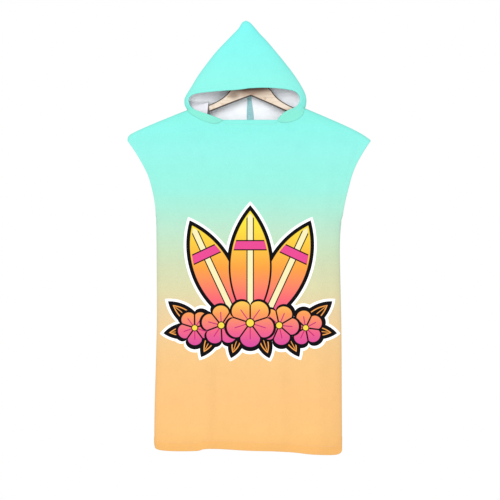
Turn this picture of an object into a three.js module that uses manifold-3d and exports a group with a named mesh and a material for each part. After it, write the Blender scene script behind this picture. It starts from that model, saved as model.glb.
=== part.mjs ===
// A hooded bath poncho hanging on a wooden clothes hanger, in millimetres with +Z up.
// X runs to the wearer's left, which is the viewer's right, and Y runs from the front to the back.
// The origin is the seat of the hanger's hook: the top of the inside of its bend.
import * as THREE from "three";
import { mergeVertices } from "three/addons/utils/BufferGeometryUtils.js";
import Module from "manifold-3d";

// Driving dimensions
const clothThickness = 2;
const seamGap = 0.4; // between two pieces that are sewn together
const ridgeRadius = 9; // how tightly the cloth turns over the shoulders and the hood's sides
const sideRadius = 6; // how tightly it turns at the side seams
const turnPower = 4; // how squarely a turn runs into the flat of the cloth
const flapWidth = 9.5; // the hood's seam allowance, pressed open on each side of the back seam
const flapThickness = 1.2;
const flapGap = 0.35;
const flapTop = 45; // height at which the flaps end, above the hook's seat
const rackThickness = 12; // the hanger's wooden board
const rackRounding = 4;
const rackReach = 217; // from the hanger's middle to the end of an arm
const rackEnd = { height: 21, corner: 4 };
const rackNeckZ = -78;
const rackSeat = 3.6; // from the shoulder's outside down to the arm, through the cloth and into its bend
const hookWire = 3.6;
const hookBend = 19; // radius of the hook's bend, at the middle of the wire
const hookTurn = { from: -42, to: 200 }; // where the bend starts and ends, in degrees from the right
const hookShank = [-91, -70, -56, -46]; // heights along the straight part, from its foot in the socket
const socketDepth = 16;
const socketSlack = 0.35;

// How many cells each stretch of cloth is divided into
const cells = {
  shoulder: 9,
  collar: 8,
  neckline: 6,
  sideSeam: 10,
  armhole: 12,
  hoodSide: 12,
  hoodCollar: 7,
};

// Armholes and side seams, from the sleeve tips down to the hem
const bodyOutline = [
  { z: -264, left: -385.5, right: 368 },
  { z: -295, left: -363.5, right: 347.5 },
  { z: -335, left: -339.5, right: 324.5 },
  { z: -370, left: -322, right: 310 },
  { z: -415, left: -308.5, right: 297.5 },
  { z: -465, left: -299, right: 285.5 },
  { z: -513, left: -296, right: 277.5 },
  { z: -570, left: -295.5, right: 273.5 },
  { z: -620, left: -295, right: 273 },
  { z: -715, left: -294.5, right: 275 },
  { z: -830, left: -294.5, right: 277.5 },
  { z: -960, left: -297.5, right: 278.5 },
  { z: -1080, left: -301, right: 279 },
  { z: -1202, left: -303, right: 280 },
];
const underarmZ = -513; // the armhole ends here and the side seam starts

// Shoulder seams, from the neck out to the sleeve tips
const leftShoulder = [
  { x: -200, z: -170.5 },
  { x: -255, z: -192.5 },
  { x: -318, z: -218.5 },
  { x: -367, z: -241 },
  { x: -381.5, z: -250.5 },
  { x: -385.5, z: -264 },
];
const rightShoulder = [
  { x: 163.5, z: -164.5 },
  { x: 225, z: -190.5 },
  { x: 280, z: -214.5 },
  { x: 317, z: -232 },
  { x: 346, z: -248 },
  { x: 368, z: -264 },
];

// Neck seam in front, from the shoulder to where the hood ends beside the neckline
const leftCollar = [
  { x: -200, z: -170.5 },
  { x: -193.5, z: -180.5 },
  { x: -175.5, z: -193 },
  { x: -156, z: -203.5 },
  { x: -130, z: -213 },
  { x: -109, z: -215.5 },
  { x: -96, z: -211 },
  { x: -88.5, z: -205 },
];
const rightCollar = [
  { x: 163.5, z: -164.5 },
  { x: 161.5, z: -175 },
  { x: 156.5, z: -188 },
  { x: 143.5, z: -200.5 },
  { x: 119, z: -210.5 },
  { x: 97, z: -213 },
  { x: 84, z: -210.5 },
  { x: 78, z: -205 },
];
const nape = { x: -4, z: -208 };
const leftNeckBack = [
  { x: -200, z: -170.5 },
  { x: -176, z: -189 },
  { x: -130, z: -201 },
  { x: -70, z: -206.5 },
  nape,
];
const rightNeckBack = [
  { x: 163.5, z: -164.5 },
  { x: 145, z: -186 },
  { x: 110, z: -199 },
  { x: 60, z: -206 },
  nape,
];

// Hem in front and behind, from the left side seam to the right one
const frontHem = [
  { x: -303, z: -1202 },
  { x: -300, z: -1214.5 },
  { x: -288, z: -1220.5 },
  { x: -163, z: -1220.3 },
  { x: -148, z: -1215.5 },
  { x: -30, z: -1220.5 },
  { x: 60, z: -1222.5 },
  { x: 130, z: -1227.5 },
  { x: 172, z: -1232 },
  { x: 200, z: -1233.6 },
  { x: 268, z: -1233.5 },
  { x: 278, z: -1225 },
  { x: 280, z: -1202 },
];
const backHem = [
  { x: -303, z: -1202 },
  { x: -299, z: -1214 },
  { x: -286, z: -1219.5 },
  { x: -160, z: -1218 },
  { x: -20, z: -1222 },
  { x: 120, z: -1225.5 },
  { x: 265, z: -1230 },
  { x: 277, z: -1223 },
  { x: 280, z: -1202 },
];

// The hood's side edges as it hangs, from the point down to the shoulders
const hoodPoint = { x: -18, z: 107 };
const hoodOutline = [
  { z: 101, left: -29.5, right: -6 },
  { z: 84, left: -40, right: 10 },
  { z: 65, left: -58, right: 26 },
  { z: 46.5, left: -76, right: 44 },
  { z: 9.5, left: -111, right: 75.5 },
  { z: -28, left: -140.5, right: 106 },
  { z: -65, left: -167.5, right: 134 },
  { z: -102, left: -189.5, right: 157 },
  { z: -121, left: -202, right: 166 },
  { z: -137, left: -209, right: 169.5 },
  { z: -150, left: -209, right: 169 },
  { z: -161, left: -205.5, right: 166.5 },
];
const hoodTurn = -137; // height of the face opening's outer corners

// Edge of the face opening, from the middle of the brow round a corner and back in to the neckline
const brow = { x: -10, z: -105.5 };
const leftFaceEdge = [
  brow,
  { x: -41.5, z: -110 },
  { x: -82, z: -112.5 },
  { x: -122, z: -115.5 },
  { x: -159, z: -118.5 },
  { x: -182, z: -123 },
  { x: -194, z: -132 },
  { x: -197, z: -144 },
  { x: -193, z: -156.5 },
  { x: -183, z: -167 },
  { x: -165, z: -175.5 },
  { x: -141, z: -184.5 },
  { x: -110, z: -196.5 },
  { x: -88.5, z: -205 },
];
const rightFaceEdge = [
  brow,
  { x: 31.5, z: -103.5 },
  { x: 72, z: -104.5 },
  { x: 112, z: -108.5 },
  { x: 135, z: -114.5 },
  { x: 147, z: -127 },
  { x: 150.5, z: -143.5 },
  { x: 144, z: -156 },
  { x: 134, z: -164 },
  { x: 112, z: -174.5 },
  { x: 99, z: -183 },
  { x: 87.5, z: -194 },
  { x: 78, z: -205 },
];

// How far the cloth stands out in front of and behind the shoulder line, down the garment
const depths = [
  { z: 110, front: 10, back: 10 },
  { z: 60, front: 17, back: 16 },
  { z: 0, front: 25, back: 23 },
  { z: -60, front: 32, back: 27 },
  { z: -110, front: 36, back: 29 },
  { z: -165, front: 33, back: 28 },
  { z: -215, front: 26, back: 24 },
  { z: -300, front: 20, back: 20 },
  { z: -500, front: 21, back: 21 },
  { z: -800, front: 25, back: 25 },
  { z: -1245, front: 31, back: 30 },
];
const cuff = { from: 210, over: 170, drop: 0.5 }; // the sleeves lie flatter towards their tips

// Folds that hang from the shoulders: where each starts and meets the hem, its half width and height
const folds = [
  { side: "front", topX: -128, topZ: -330, hemX: -150, width: 34, rise: 7 },
  { side: "front", topX: -52, topZ: -420, hemX: -66, width: 42, rise: -5 },
  { side: "front", topX: 36, topZ: -520, hemX: 30, width: 40, rise: 5 },
  { side: "front", topX: 118, topZ: -340, hemX: 132, width: 36, rise: -6 },
  { side: "front", topX: 188, topZ: -420, hemX: 212, width: 30, rise: 6 },
  { side: "back", topX: -150, topZ: -360, hemX: -178, width: 36, rise: -6 },
  { side: "back", topX: -80, topZ: -330, hemX: -92, width: 36, rise: 7 },
  { side: "back", topX: 10, topZ: -450, hemX: 4, width: 46, rise: -5 },
  { side: "back", topX: 92, topZ: -340, hemX: 108, width: 36, rise: 7 },
  { side: "back", topX: 160, topZ: -400, hemX: 192, width: 34, rise: -5 },
];

// Upper and lower edge of one arm of the hanger, from its middle to its end
const armTop = [
  { x: 0, z: rackNeckZ },
  { x: 10, z: rackNeckZ },
  { x: 24, z: -84 },
  { x: 44, z: -92 },
  { x: 60, z: -104 },
  { x: 72, z: -120 },
  { x: 86, z: -134 },
  { x: 106, z: -147 },
  { x: 132, z: -159 },
  { x: 172, z: -172 },
];
const armBottom = [
  { x: 205, z: -209 },
  { x: 130, z: -180.5 },
  { x: 60, z: -151 },
  { x: 0, z: -127 },
];

const curveOf = (rows) =>
  new THREE.CatmullRomCurve3(rows.map((row) => new THREE.Vector3(row.x, 0, row.z)), false, "centripetal");
const pointsAlong = (rows, shares) => {
  const curve = curveOf(rows);
  return shares.map((share) => curve.getPointAt(share));
};
const evenly = (t) => t;
const shares = (count, spacing = evenly) => Array.from({ length: count + 1 }, (_, k) => spacing(k / count));
const closeAtStart = (t) => t * t;
const closeAtEnd = (t) => 1 - (1 - t) * (1 - t);
const closeAtBothEnds = (t) => (1 - Math.cos(Math.PI * t)) / 2;
const smoothStep = (t) => {
  const s = THREE.MathUtils.clamp(t, 0, 1);
  return s * s * (3 - 2 * s);
};

// The value of one column of a table at a height, by a smooth curve through its rows
function valueAt(rows, name, z) {
  const last = rows.length - 1;
  if (z >= rows[0].z) return rows[0][name];
  if (z <= rows[last].z) return rows[last][name];
  const i = rows.findIndex((row) => row.z < z) - 1;
  const slope = (a, b) => (rows[b][name] - rows[a][name]) / (rows[b].z - rows[a].z);
  const span = rows[i + 1].z - rows[i].z;
  const before = slope(Math.max(i - 1, 0), i + 1) * span;
  const after = slope(i, Math.min(i + 2, last)) * span;
  const t = (z - rows[i].z) / span;
  return (
    (2 * t ** 3 - 3 * t ** 2 + 1) * rows[i][name] +
    (t ** 3 - 2 * t ** 2 + t) * before +
    (3 * t ** 2 - 2 * t ** 3) * rows[i + 1][name] +
    (t ** 3 - t ** 2) * after
  );
}

// How far each point of a line lies along it, from 0 to 1
function progress(points) {
  const reached = points.map(() => 0);
  for (let k = 1; k < points.length; k++) reached[k] = reached[k - 1] + points[k].distanceTo(points[k - 1]);
  return reached.map((length) => length / reached[points.length - 1]);
}

// Fills the area between four lines of points. Rows run from the bottom line to the top one.
function patch(bottom, top, left, right) {
  const across = progress(bottom).map((share, k) => (share + progress(top)[k]) / 2);
  const up = progress(left).map((share, j) => (share + progress(right)[j]) / 2);
  const [columns, rows] = [bottom.length - 1, left.length - 1];
  return left.map((_, j) =>
    bottom.map((_, k) => {
      const [u, v] = [across[k], up[j]];
      const corners = bottom[0].clone().multiplyScalar((1 - u) * (1 - v));
      corners.addScaledVector(bottom[columns], u * (1 - v));
      corners.addScaledVector(top[0], (1 - u) * v).addScaledVector(top[columns], u * v);
      return bottom[k].clone().multiplyScalar(1 - v).addScaledVector(top[k], v)
        .addScaledVector(left[j], 1 - u).addScaledVector(right[j], u).sub(corners);
    }),
  );
}

function distanceTo(line, point) {
  const nearest = new THREE.Vector3();
  const distances = line.slice(1).map((end, i) => {
    new THREE.Line3(line[i], end).closestPointToPoint(point, true, nearest);
    return nearest.distanceTo(point);
  });
  return Math.min(...distances);
}

function foldRise(place, side) {
  return folds.filter((fold) => fold.side === side).reduce((sum, fold) => {
    const down = (place.z - fold.topZ) / (bodyOutline.at(-1).z - fold.topZ);
    const middle = THREE.MathUtils.lerp(fold.topX, fold.hemX, THREE.MathUtils.clamp(down, 0, 1));
    return sum + fold.rise * smoothStep(down) * Math.exp(-(((place.x - middle) / fold.width) ** 2));
  }, 0);
}

// How far the cloth stands out at a place. It falls to nothing in a round turn at each closed edge.
function standsOut(place, side, closedEdges) {
  const beyond = Math.abs(place.x - nape.x) - cuff.from;
  const full = valueAt(depths, side, place.z) * (1 - cuff.drop * smoothStep(beyond / cuff.over));
  const shut = closedEdges.map(({ line, radius }) => {
    const share = Math.min(distanceTo(line, place) / (full ** 2 / radius), 1);
    return Math.max(Math.sqrt(1 - (1 - share) ** 2), 1e-3) ** -turnPower - 1;
  });
  const openness = (1 + shut.reduce((sum, value) => sum + value, 0)) ** (-1 / turnPower);
  return full * openness + foldRise(place, side) * openness ** 2;
}

// The outward normal of the cloth at a place that isn't on a closed edge
function normalAt(place, side, closedEdges) {
  const step = 0.25;
  const slope = (axis) => {
    const [ahead, behind] = [place.clone(), place.clone()];
    ahead[axis] += step;
    behind[axis] -= step;
    return (standsOut(ahead, side, closedEdges) - standsOut(behind, side, closedEdges)) / (2 * step);
  };
  return new THREE.Vector3(-slope("x"), side === "front" ? -1 : 1, -slope("z"));
}

// The normal on a closed edge, at right angles to the line between two of its points
function edgeNormal(from, to, outwards) {
  const normal = new THREE.Vector3(from.z - to.z, 0, to.x - from.x);
  return normal.dot(outwards) < 0 ? normal.negate() : normal;
}

const clothPoint = (outer, normal, thickness = clothThickness) => ({
  outer,
  inner: outer.clone().addScaledVector(normal.normalize(), -thickness),
});

// Makes a closed wall of cloth from a grid of cloth points. facing is 1 where the grid's columns and then
// its rows turn to the left as seen from outside, and -1 where they turn to the right.
function clothWall(grid, facing) {
  const [rows, columns] = [grid.length - 1, grid[0].length - 1];
  const corners = [];
  const face = (a, b, c, d) => corners.push(...(facing > 0 ? [a, b, c, a, c, d] : [a, c, b, a, d, c]));
  for (let j = 0; j < rows; j++)
    for (let k = 0; k < columns; k++) {
      const cell = [grid[j][k], grid[j][k + 1], grid[j + 1][k + 1], grid[j + 1][k]];
      face(...cell.map((point) => point.outer));
      face(...cell.map((point) => point.inner).reverse());
    }
  const rim = [
    ...grid[0],
    ...grid.map((row) => row[columns]).slice(1),
    ...[...grid[rows]].reverse().slice(1),
    ...grid.map((row) => row[0]).reverse().slice(1),
  ];
  rim.slice(1).forEach((next, i) => face(rim[i].inner, next.inner, next.outer, rim[i].outer));
  return closedGeometry(corners);
}

// Joins equal corners and leaves out faces that have shrunk to a line
function closedGeometry(corners) {
  const whole = [];
  for (let i = 0; i < corners.length; i += 3) {
    const [a, b, c] = corners.slice(i, i + 3);
    const area = b.clone().sub(a).cross(c.clone().sub(a)).length();
    if (area > 1e-4) whole.push(...[a, b, c].flatMap((corner) => corner.toArray()));
  }
  const geometry = new THREE.BufferGeometry();
  geometry.setAttribute("position", new THREE.Float32BufferAttribute(whole, 3));
  const merged = mergeVertices(geometry, 1e-3);
  merged.computeVertexNormals();
  return merged;
}

const poncho = new THREE.Group();
poncho.name = "hooded_bath_poncho";
const finish = (color, roughness, metalness = 0) =>
  new THREE.MeshStandardMaterial({ color, roughness, metalness });
const printedCloth = finish(0xa0f8ea, 0.9);
const hoodCloth = finish(0x95fbf1, 0.9);
const flapCloth = finish(0x8fc4c6, 0.95);
const paleWood = finish(0xe8cfae, 0.55);
const steel = finish(0xc9ccd0, 0.25, 1);
function add(name, geometry, material, group = poncho) {
  const mesh = new THREE.Mesh(geometry, material);
  mesh.name = name;
  group.add(mesh);
}

const upwards = new THREE.Vector3(0, 0, 1);
const leftwards = new THREE.Vector3(-1, 0, 0);
const rightwards = new THREE.Vector3(1, 0, 0);

// The closed edges: the shoulders, then the side seams from the underarms to the hem
const underarm = bodyOutline.findIndex((row) => row.z === underarmZ);
const edgeOf = (rows, side) => rows.map((row) => ({ x: row[side], z: row.z })).reverse();
const sideSeams = ["left", "right"].map((side) =>
  pointsAlong(edgeOf(bodyOutline.slice(underarm), side), shares(cells.sideSeam)),
);
const armholes = ["left", "right"].map((side) =>
  pointsAlong(edgeOf(bodyOutline.slice(0, underarm + 1), side), shares(cells.armhole, closeAtEnd)),
);
const shoulders = [leftShoulder, rightShoulder].map((rows) =>
  pointsAlong([...rows].reverse(), shares(cells.shoulder, closeAtStart)),
);
const closedOnBody = [
  ...shoulders.map((line) => ({ line, radius: ridgeRadius })),
  ...sideSeams.map((line) => ({ line, radius: sideRadius })),
];

// The neck seam on each side, from the shoulder inwards. Each point has its direction towards the hood.
function neckSeam(rows, side) {
  const points = pointsAlong(rows, shares(cells.collar, closeAtStart));
  const turn = side === "left" ? 1 : -1;
  return points.map((point, i) => {
    const along = points[Math.min(i + 1, cells.collar)].clone().sub(points[Math.max(i - 1, 0)]);
    return { point, towardsHood: new THREE.Vector3(-turn * along.z, 0, turn * along.x).normalize() };
  });
}
const neck = {
  front: [neckSeam(leftCollar, "left"), neckSeam(rightCollar, "right")],
  back: [neckSeam(leftNeckBack, "left"), neckSeam(rightNeckBack, "right")],
};

// A front or back panel, bounded by the hem, the side seams with the armholes, the shoulders and the neck
function bodyPanel(side, hem) {
  const [leftNeck, rightNeck] = neck[side];
  const besideSeam = ({ point, towardsHood }) => point.clone().addScaledVector(towardsHood, -seamGap / 2);
  const leftTurn = leftNeck.map(besideSeam);
  const rightTurn = rightNeck.map(besideSeam).reverse();
  const between = side === "front" ? shares(cells.neckline).slice(1, -1) : [];
  const neckline = between.map((share) => leftTurn.at(-1).clone().lerp(rightTurn[0], share));
  const turns = [...leftTurn, ...neckline, ...rightTurn.slice(side === "front" ? 0 : 1)];
  const top = [...shoulders[0].slice(0, -1), ...turns, ...[...shoulders[1]].reverse().slice(1)];
  const bottom = pointsAlong(hem, shares(top.length - 1, closeAtBothEnds));
  const [left, right] = [0, 1].map((i) => [...sideSeams[i], ...armholes[i].slice(1)]);
  const places = patch(bottom, top, left, right);
  const [rows, columns] = [places.length - 1, top.length - 1];
  const facing = side === "front" ? 1 : -1;
  const normalOf = (place, j, k) => {
    const [before, after] = [Math.max(k - 1, 0), Math.min(k + 1, columns)];
    if (j === rows && k <= cells.shoulder) return edgeNormal(places[j][before], place, upwards);
    if (j === rows && k >= columns - cells.shoulder) return edgeNormal(place, places[j][after], upwards);
    const onSideSeam = j <= cells.sideSeam && (k === 0 || k === columns);
    if (!onSideSeam) return normalAt(place, side, closedOnBody);
    return edgeNormal(places[Math.max(j - 1, 0)][k], places[j + 1][k], k === 0 ? leftwards : rightwards);
  };
  const grid = places.map((row, j) =>
    row.map((place, k) => {
      const depth = Math.hypot(standsOut(place, side, closedOnBody), seamGap / 2);
      return clothPoint(place.clone().setY(-facing * depth), normalOf(place, j, k));
    }),
  );
  return clothWall(grid, facing);
}

add("front_panel", bodyPanel("front", frontHem), printedCloth);
add("back_panel", bodyPanel("back", backHem), printedCloth);

// The hood is one piece, wrapped round from a seam down the middle of the back, so it has none in front
const hoodSide = (side) => {
  const shoulder = side === "left" ? leftShoulder[0] : rightShoulder[0];
  const rows = [hoodPoint, ...hoodOutline.map((row) => ({ x: row[side], z: row.z })), shoulder];
  const turn = rows.findIndex((row) => row.z <= hoodTurn);
  const upper = pointsAlong(rows.slice(0, turn + 1), shares(cells.hoodSide, (t) => t ** 1.7));
  const lower = pointsAlong(rows.slice(turn), shares(cells.hoodCollar));
  return [...upper, ...lower.slice(1)];
};
const hoodEdges = { left: hoodSide("left"), right: hoodSide("right") };
const closedOnHood = Object.values(hoodEdges).map((line) => ({ line, radius: ridgeRadius }));

// A row of places from one point to another, bowed like a given line
function bowed(from, to, line, spacing, weight) {
  return shares(line.length - 1, spacing).map((share, k) => {
    const bow = line[k].clone().sub(line[0].clone().lerp(line.at(-1), share));
    return from.clone().lerp(to, share).addScaledVector(bow, weight);
  });
}

// Half of the hood, in rows from the line between brow and point down to the neck seam
function hoodHalf(side, faceEdge) {
  const onHoodSide = ({ point, towardsHood }) => point.clone().addScaledVector(towardsHood, seamGap / 2);
  const half = side === "left" ? 0 : 1;
  const neckFront = neck.front[half].map(onHoodSide).reverse();
  const neckBack = neck.back[half].map(onHoodSide);
  const fromBrow = (row) => Math.abs(row.x - brow.x);
  const turn = faceEdge.findIndex((row) => fromBrow(row) === Math.max(...faceEdge.map(fromBrow)));
  const rim = [
    ...pointsAlong(faceEdge.slice(0, turn + 1), shares(cells.hoodSide)),
    ...pointsAlong(faceEdge.slice(turn), shares(cells.hoodCollar)).slice(1, -1),
    neckFront[0],
  ];
  const edge = [...hoodEdges[side].slice(0, -1), neckFront.at(-1)];
  const [aside, sideways] = side === "left" ? [-seamGap / 2, leftwards] : [seamGap / 2, rightwards];
  return edge.map((point, j) => {
    const collar = Math.max(0, (j - cells.hoodSide) / cells.hoodCollar);
    const seamZ = THREE.MathUtils.lerp(point.z, neckBack.at(-1).z, collar);
    const seamX = THREE.MathUtils.mapLinear(seamZ, hoodPoint.z, nape.z, hoodPoint.x, nape.x);
    const seam = new THREE.Vector3(j === 0 ? seamX : seamX + aside, 0, seamZ);
    const frontRow = bowed(rim[j], point, neckFront, closeAtEnd, collar ** 2).slice(0, -1);
    const backRow = bowed(point, seam, neckBack, closeAtStart, collar ** 2).slice(1);
    const closed = collar === 1 ? closedOnBody : closedOnHood;
    const placed = (name, towards) => (place) => {
      const outer = place.clone().setY(towards * standsOut(place, name, closed));
      return clothPoint(outer, normalAt(place, name, closed));
    };
    const onEdge = edgeNormal(edge[Math.max(j - 1, 0)], edge[Math.min(j + 1, edge.length - 1)], sideways);
    return [
      ...frontRow.map(placed("front", -1)),
      clothPoint(point, j === 0 ? upwards.clone() : onEdge),
      ...backRow.map(j === 0 ? (place) => clothPoint(place, upwards.clone()) : placed("back", 1)),
    ];
  });
}

const [hoodOnRight, hoodOnLeft] = [hoodHalf("right", rightFaceEdge), hoodHalf("left", leftFaceEdge)];
add("hood", clothWall([...hoodOnRight.slice(1).reverse(), ...hoodOnLeft], 1), hoodCloth);

// Seam allowance pressed open inside the hood: a strip on each side of the back seam, laid on the inner wall
function seamFlap(half, facing) {
  const lines = half.filter((row) => row.at(-1).inner.z <= flapTop).map((row) => {
    const [beside, seam] = [row.at(-2), row.at(-1)];
    const outwards = beside.inner.clone().sub(seam.inner).normalize();
    const normal = seam.outer.clone().sub(seam.inner).normalize();
    return [0, 0.5, 1].map((share) => {
      const onHood = seam.inner.clone().addScaledVector(outwards, flapGap + flapWidth * share);
      return clothPoint(onHood.addScaledVector(normal, -flapGap), normal.clone(), flapThickness);
    });
  });
  return clothWall(lines, facing);
}
add("hood_seam_flap_left", seamFlap(hoodOnLeft, -1), flapCloth);
add("hood_seam_flap_right", seamFlap(hoodOnRight, 1), flapCloth);

// The hanger hangs a little aslant, because the shoulders rest on both ends of its arms
const seatUnder = (rows, x) => {
  const closer = (a, b) => (Math.abs(b.x - x) < Math.abs(a.x - x) ? b : a);
  return pointsAlong(rows, shares(400)).reduce(closer).z - rackSeat;
};
const [leftSeat, rightSeat] = [seatUnder(leftShoulder, -rackReach), seatUnder(rightShoulder, rackReach)];
const rackTipZ = (leftSeat + rightSeat) / 2;
const rackTilt = Math.atan2(leftSeat - rightSeat, 2 * rackReach);

const wasm = await Module();
wasm.setup();
function solidOf(geometry) {
  const bare = new THREE.BufferGeometry();
  bare.setAttribute("position", geometry.getAttribute("position"));
  if (geometry.index) bare.setIndex(geometry.index);
  const merged = mergeVertices(bare, 1e-3);
  return new wasm.Manifold(
    new wasm.Mesh({
      numProp: 3,
      vertProperties: merged.attributes.position.array,
      triVerts: new Uint32Array(merged.index.array),
    }),
  );
}
function geometryOf(solid) {
  const mesh = solid.getMesh();
  const geometry = new THREE.BufferGeometry();
  geometry.setAttribute("position", new THREE.Float32BufferAttribute(mesh.vertProperties, 3));
  geometry.setIndex(new THREE.Uint32BufferAttribute(mesh.triVerts, 1));
  geometry.computeVertexNormals();
  return geometry;
}

// The board is drawn in X and Z, then stood up, rounded along its edges and bored for the hook
function hangerBoard() {
  const endX = rackReach - rackEnd.corner;
  const rightHalf = [
    ...pointsAlong([...armTop, { x: endX, z: rackTipZ }], shares(20)),
    new THREE.Vector3(rackReach, 0, rackTipZ - rackEnd.corner),
    new THREE.Vector3(endX, 0, rackTipZ - rackEnd.height),
    ...pointsAlong(armBottom, shares(6)),
  ];
  const leftHalf = rightHalf.slice(1, -1).reverse().map((point) => new THREE.Vector3(-point.x, 0, point.z));
  const corners = [...rightHalf, ...leftHalf].map((point) => new THREE.Vector2(point.x, point.z));
  const outline = new THREE.Shape(corners);
  const board = new THREE.ExtrudeGeometry(outline, {
    depth: rackThickness - 2 * rackRounding,
    bevelThickness: rackRounding,
    bevelSize: rackRounding,
    bevelOffset: -rackRounding,
    bevelSegments: 3,
  });
  board.translate(0, 0, rackRounding - rackThickness / 2).rotateX(Math.PI / 2);
  const socketRadius = hookWire / 2 + socketSlack;
  const socket = new THREE.CylinderGeometry(socketRadius, socketRadius, 2 * socketDepth, 16);
  socket.rotateX(Math.PI / 2).translate(0, 0, rackNeckZ);
  return geometryOf(solidOf(board).subtract(solidOf(socket)));
}

function hangerHook() {
  const bendZ = hookWire / 2 - hookBend; // so that the inside of the bend is at the seat
  const turn = (degrees) => {
    const angle = THREE.MathUtils.degToRad(degrees);
    return new THREE.Vector3(hookBend * Math.cos(angle), 0, bendZ + hookBend * Math.sin(angle));
  };
  const shank = hookShank.map((z) => new THREE.Vector3(0, 0, z));
  const bend = shares(13).map((share) => turn(THREE.MathUtils.lerp(hookTurn.from, hookTurn.to, share)));
  const path = new THREE.CatmullRomCurve3([...shank, ...bend], false, "centripetal");
  const section = new THREE.Shape().absarc(0, 0, hookWire / 2, 0, 2 * Math.PI);
  const bent = { steps: 40, curveSegments: 6, extrudePath: path, bevelEnabled: false };
  return new THREE.ExtrudeGeometry(section, bent);
}

const hanger = new THREE.Group();
hanger.rotation.y = rackTilt;
poncho.add(hanger);
add("hanger_board", hangerBoard(), paleWood, hanger);
add("hanger_hook", hangerHook(), steel, hanger);

export default poncho;
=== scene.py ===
import math

import bpy
import numpy as np
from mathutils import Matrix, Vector


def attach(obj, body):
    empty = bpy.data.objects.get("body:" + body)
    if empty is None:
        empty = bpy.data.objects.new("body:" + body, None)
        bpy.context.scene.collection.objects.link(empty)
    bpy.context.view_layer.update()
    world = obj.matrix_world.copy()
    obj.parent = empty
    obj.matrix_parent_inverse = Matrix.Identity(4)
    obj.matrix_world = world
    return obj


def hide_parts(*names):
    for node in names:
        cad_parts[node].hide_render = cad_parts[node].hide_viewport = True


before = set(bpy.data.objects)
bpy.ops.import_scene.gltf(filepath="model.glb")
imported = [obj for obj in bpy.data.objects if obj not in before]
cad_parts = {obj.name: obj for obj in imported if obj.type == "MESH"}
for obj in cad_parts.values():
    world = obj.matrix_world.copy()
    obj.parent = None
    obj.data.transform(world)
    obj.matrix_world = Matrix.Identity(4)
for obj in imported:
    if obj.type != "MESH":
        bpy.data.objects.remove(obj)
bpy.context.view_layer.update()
mm = 0.001
print("frame loaded:", ", ".join(sorted(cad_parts)))

# Outlines of the cut pieces as they hang, in millimetres: x to the right and z up from the hook's seat
outlines = {
    "leftEdge": [  # from the sleeve's tip round the armhole and down the side seam
        (-385.5, -264), (-363.5, -295), (-339.5, -335), (-322, -370), (-308.5, -415), (-299, -465),
        (-296, -513), (-295.5, -570), (-295, -620), (-294.5, -715), (-294.5, -830), (-297.5, -960),
        (-301, -1080), (-303, -1202),
    ],
    "rightEdge": [
        (368, -264), (347.5, -295), (324.5, -335), (310, -370), (297.5, -415), (285.5, -465), (277.5, -513),
        (273.5, -570), (273, -620), (275, -715), (277.5, -830), (278.5, -960), (279, -1080), (280, -1202),
    ],
    "leftShoulder": [
        (-200, -170.5), (-255, -192.5), (-318, -218.5), (-367, -241), (-381.5, -250.5), (-385.5, -264),
    ],
    "rightShoulder": [(163.5, -164.5), (225, -190.5), (280, -214.5), (317, -232), (346, -248), (368, -264)],
    "leftCollar": [  # the neck seam in front, from the shoulder to where the hood ends
        (-200, -170.5), (-193.5, -180.5), (-175.5, -193), (-156, -203.5), (-130, -213), (-109, -215.5),
        (-96, -211), (-88.5, -205),
    ],
    "rightCollar": [
        (163.5, -164.5), (161.5, -175), (156.5, -188), (143.5, -200.5), (119, -210.5), (97, -213),
        (84, -210.5), (78, -205),
    ],
    "leftNape": [(-200, -170.5), (-176, -189), (-130, -201), (-70, -206.5), (-4, -208)],
    "rightNape": [(163.5, -164.5), (145, -186), (110, -199), (60, -206), (-4, -208)],
    "frontHem": [
        (-303, -1202), (-300, -1214.5), (-288, -1220.5), (-163, -1220.3), (-148, -1215.5), (-30, -1220.5),
        (60, -1222.5), (130, -1227.5), (172, -1232), (200, -1233.6), (268, -1233.5), (278, -1225),
        (280, -1202),
    ],
    "backHem": [
        (-303, -1202), (-299, -1214), (-286, -1219.5), (-160, -1218), (-20, -1222), (120, -1225.5),
        (265, -1230), (277, -1223), (280, -1202),
    ],
    "leftHood": [  # the hood's side as it hangs, from its point to the shoulder
        (-18, 107), (-29.5, 101), (-40, 84), (-58, 65), (-76, 46.5), (-111, 9.5), (-140.5, -28), (-167.5, -65),
        (-189.5, -102), (-202, -121), (-209, -137), (-209, -150), (-205.5, -161), (-200, -170.5),
    ],
    "rightHood": [
        (-18, 107), (-6, 101), (10, 84), (26, 65), (44, 46.5), (75.5, 9.5), (106, -28), (134, -65),
        (157, -102), (166, -121), (169.5, -137), (169, -150), (166.5, -161), (163.5, -164.5),
    ],
    "leftFace": [  # edge of the face opening, from the brow round to the neckline
        (-10, -105.5), (-41.5, -110), (-82, -112.5), (-122, -115.5), (-159, -118.5), (-182, -123),
        (-194, -132), (-197, -144), (-193, -156.5), (-183, -167), (-165, -175.5), (-141, -184.5),
        (-110, -196.5), (-88.5, -205),
    ],
    "rightFace": [
        (-10, -105.5), (31.5, -103.5), (72, -104.5), (112, -108.5), (135, -114.5), (147, -127),
        (150.5, -143.5), (144, -156), (134, -164), (112, -174.5), (99, -183), (87.5, -194), (78, -205),
    ],
}

# How far the cloth stands out in front of and behind the shoulder line: height, front, back
depths = np.array([
    (110, 10, 10), (60, 17, 16), (0, 25, 23), (-60, 32, 27), (-110, 36, 29), (-165, 33, 28),
    (-215, 26, 24), (-300, 20, 20), (-500, 21, 21), (-800, 25, 25), (-1245, 31, 30),
], float)

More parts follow.
